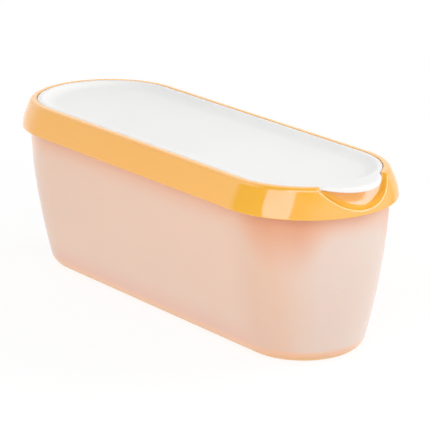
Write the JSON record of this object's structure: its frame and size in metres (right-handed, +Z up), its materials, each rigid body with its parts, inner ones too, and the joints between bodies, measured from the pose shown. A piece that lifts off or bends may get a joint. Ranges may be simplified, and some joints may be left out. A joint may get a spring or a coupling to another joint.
{
  "type": "reusable ice cream tub",
  "caption": "Long, round-ended insulated ice cream tub, shut with a dished push-in lid whose pull tab reaches over a thumb scoop in the glossy collar.",
  "frame": {"origin": "middle of the flat base, on the surface that the tub stands on", "axes": "+X along the tub's length, towards the lid's pull tab; +Y across the tub; +Z up through the lid"},
  "size_m": [0.292, 0.106, 0.105],
  "materials": {
    "frosted_shell": "frosted, slightly translucent",
    "foot_rubber": "matte",
    "glossy_collar": "glossy",
    "soft_lid": "soft matte"
  },
  "bodies": {
    "root": {"tub_shell": "frosted_shell", "base_foot": "foot_rubber", "collar": "glossy_collar", "lid": "soft_lid"}
  },
  "joints": []
}
